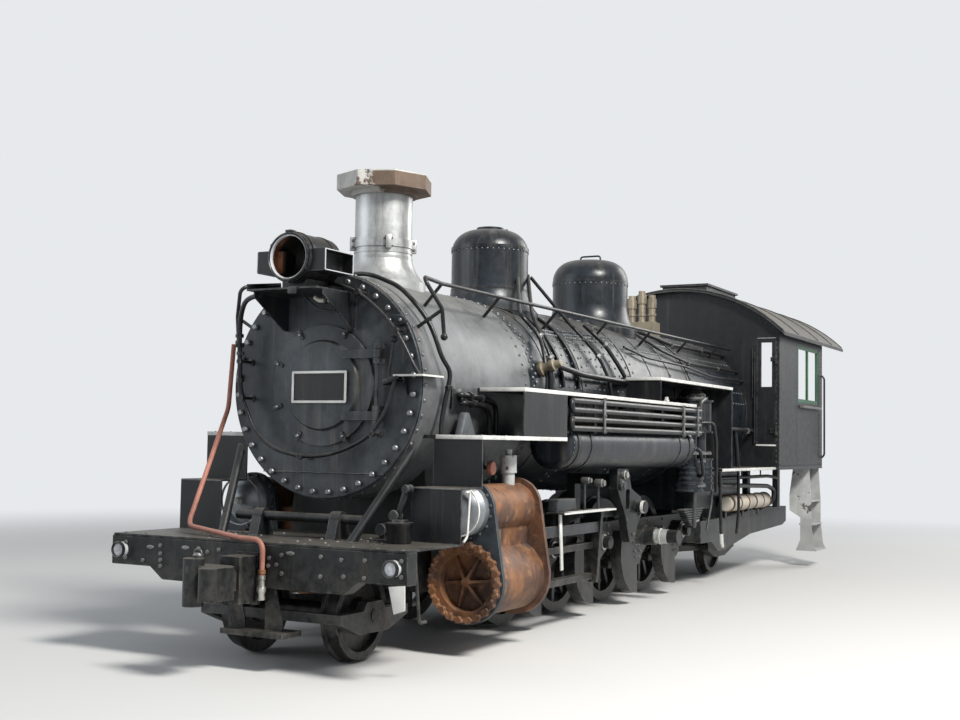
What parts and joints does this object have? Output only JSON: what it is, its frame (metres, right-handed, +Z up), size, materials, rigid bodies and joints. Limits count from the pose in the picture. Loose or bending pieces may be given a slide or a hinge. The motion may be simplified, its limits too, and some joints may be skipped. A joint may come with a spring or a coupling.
{
  "type": "steam locomotive",
  "caption": "Narrow-gauge steam locomotive with outside frames, tapered boiler, two domes, open cab and side air tanks; its rods are off, and its wheels, trucks, doors and dome lid move.",
  "frame": {"origin": "middle of the whole machine's box, on the floor that the wheel flanges stand on", "axes": "+X to the locomotive's left, +Y to its rear, so it faces -Y, and +Z up"},
  "size_m": [3.1, 13.4303, 4.1],
  "materials": {
    "smokebox_paint": "weathered graphite paint",
    "boiler_paint": "blue-black oiled paint",
    "frame_black": "oily black castings",
    "board_black": "black sheet with pale edges",
    "stack_silver": "dull aluminium paint",
    "cap_flaked": "flaking pale paint over brown rust",
    "rusty_iron": "brown and orange rust",
    "cover_silver": "silver-grey paint",
    "cab_paint": "charcoal paint",
    "roof_paint": "grey roof paint",
    "sash_green": "green paint",
    "valve_tan": "dull tan castings",
    "wheel_steel": "dark steel with worn treads",
    "pipe_black": "black pipe",
    "pipe_orange": "faded orange-pink paint",
    "lamp_copper": "black drum, copper-brown inside",
    "lamp_pale": "pale paint",
    "plate_black": "black with a pale raised edge",
    "step_white": "flaking silver-white paint",
    "truck_grey": "grey-painted casting"
  },
  "bodies": {
    "engine": {"main_frames": "frame_black", "pilot_beam": "frame_black", "front_coupler": "frame_black", "pilot_deck": "frame_black", "deck_shaft": "frame_black", "footboards": "frame_black", "beam_lamps": "lamp_pale", "step_boxes": "board_black", "smokebox": "smokebox_paint", "smokebox_front": "smokebox_paint", "front_steps": "board_black", "headlight": "lamp_copper", "headlight_shelf": "board_black", "stack": "stack_silver", "stack_cap": "cap_flaked", "boiler": "boiler_paint", "firebox": "boiler_paint", "sand_dome": "boiler_paint", "steam_dome": "boiler_paint", "cylinder_left": "rusty_iron", "cylinder_right": "rusty_iron", "cylinder_heads": "rusty_iron", "valve_covers": "cover_silver", "relief_valves": "step_white", "saddle": "frame_black", "guide_bars": "frame_black", "motion_brackets": "frame_black", "safety_valves": "valve_tan", "handrails": "pipe_black", "running_board_left": "board_black", "running_board_right": "board_black", "air_reservoirs": "boiler_paint", "cooling_coil": "pipe_black", "air_compressor": "boiler_paint", "smokebox_stays": "frame_black", "air_pipe": "pipe_orange", "sand_pipes": "pipe_black", "cab_front": "cab_paint", "cab_side_left": "cab_paint", "cab_side_right": "cab_paint", "window_sashes": "sash_green", "cab_roof": "roof_paint", "cab_floor": "board_black", "backhead": "boiler_paint", "ash_pan": "frame_black", "rear_frame": "truck_grey", "rear_steps": "step_white"},
    "driver_axle_1": {"driver_1": "wheel_steel"},
    "driver_axle_2": {"driver_2": "wheel_steel"},
    "driver_axle_3": {"driver_3": "wheel_steel"},
    "driver_axle_4": {"driver_4": "wheel_steel"},
    "pilot_truck_frame": {"pilot_truck": "truck_grey"},
    "pilot_axle": {"pilot_wheels": "wheel_steel"},
    "trailing_truck_frame": {"trailing_truck": "truck_grey"},
    "trailing_axle": {"trailing_wheels": "wheel_steel"},
    "smokebox_door_leaf": {"smokebox_door": "smokebox_paint", "number_plate": "plate_black"},
    "cab_door_left_leaf": {"cab_door_left": "cab_paint"},
    "cab_door_right_leaf": {"cab_door_right": "cab_paint"},
    "sand_lid": {"sand_dome_lid": "boiler_paint"}
  },
  "joints": [
    {"name": "driver_1_spin", "type": "hinge", "parent": "engine", "child": "driver_axle_1", "pos_m": [0, -2.955, 0.584], "axis": [1, 0, 0], "continuous": true},
    {"name": "driver_2_spin", "type": "hinge", "parent": "engine", "child": "driver_axle_2", "pos_m": [0, -1.75, 0.584], "axis": [1, 0, 0], "continuous": true},
    {"name": "driver_3_spin", "type": "hinge", "parent": "engine", "child": "driver_axle_3", "pos_m": [0, -0.545, 0.584], "axis": [1, 0, 0], "continuous": true},
    {"name": "driver_4_spin", "type": "hinge", "parent": "engine", "child": "driver_axle_4", "pos_m": [0, 0.66, 0.584], "axis": [1, 0, 0], "continuous": true},
    {"name": "pilot_truck_swivel", "type": "hinge", "parent": "engine", "child": "pilot_truck_frame", "pos_m": [0, -4.055, 0.38], "axis": [0, 0, 1], "range_deg": [-5, 5]},
    {"name": "pilot_axle_spin", "type": "hinge", "parent": "pilot_truck_frame", "child": "pilot_axle", "pos_m": [0, -5.355, 0.3805], "axis": [1, 0, 0], "continuous": true},
    {"name": "trailing_truck_swivel", "type": "hinge", "parent": "engine", "child": "trailing_truck_frame", "pos_m": [0, 1.475, 0.38], "axis": [0, 0, 1], "range_deg": [-4, 4]},
    {"name": "trailing_axle_spin", "type": "hinge", "parent": "trailing_truck_frame", "child": "trailing_axle", "pos_m": [0, 3.245, 0.3805], "axis": [1, 0, 0], "continuous": true},
    {"name": "smokebox_door_swing", "type": "hinge", "parent": "engine", "child": "smokebox_door_leaf", "pos_m": [0.56, -5.217, 2.198], "axis": [0, 0, 1], "range_deg": [0, 110]},
    {"name": "cab_door_left_swing", "type": "hinge", "parent": "engine", "child": "cab_door_left_leaf", "pos_m": [1.403, 3.389, 2.35], "axis": [0, 0, 1], "range_deg": [0, 110]},
    {"name": "cab_door_right_swing", "type": "hinge", "parent": "engine", "child": "cab_door_right_leaf", "pos_m": [-1.403, 3.389, 2.35], "axis": [0, 0, -1], "range_deg": [0, 110]},
    {"name": "sand_lid_hinge", "type": "hinge", "parent": "engine", "child": "sand_lid", "pos_m": [0, -2.109, 3.951], "axis": [-1, 0, 0], "range_deg": [0, 100]}
  ]
}
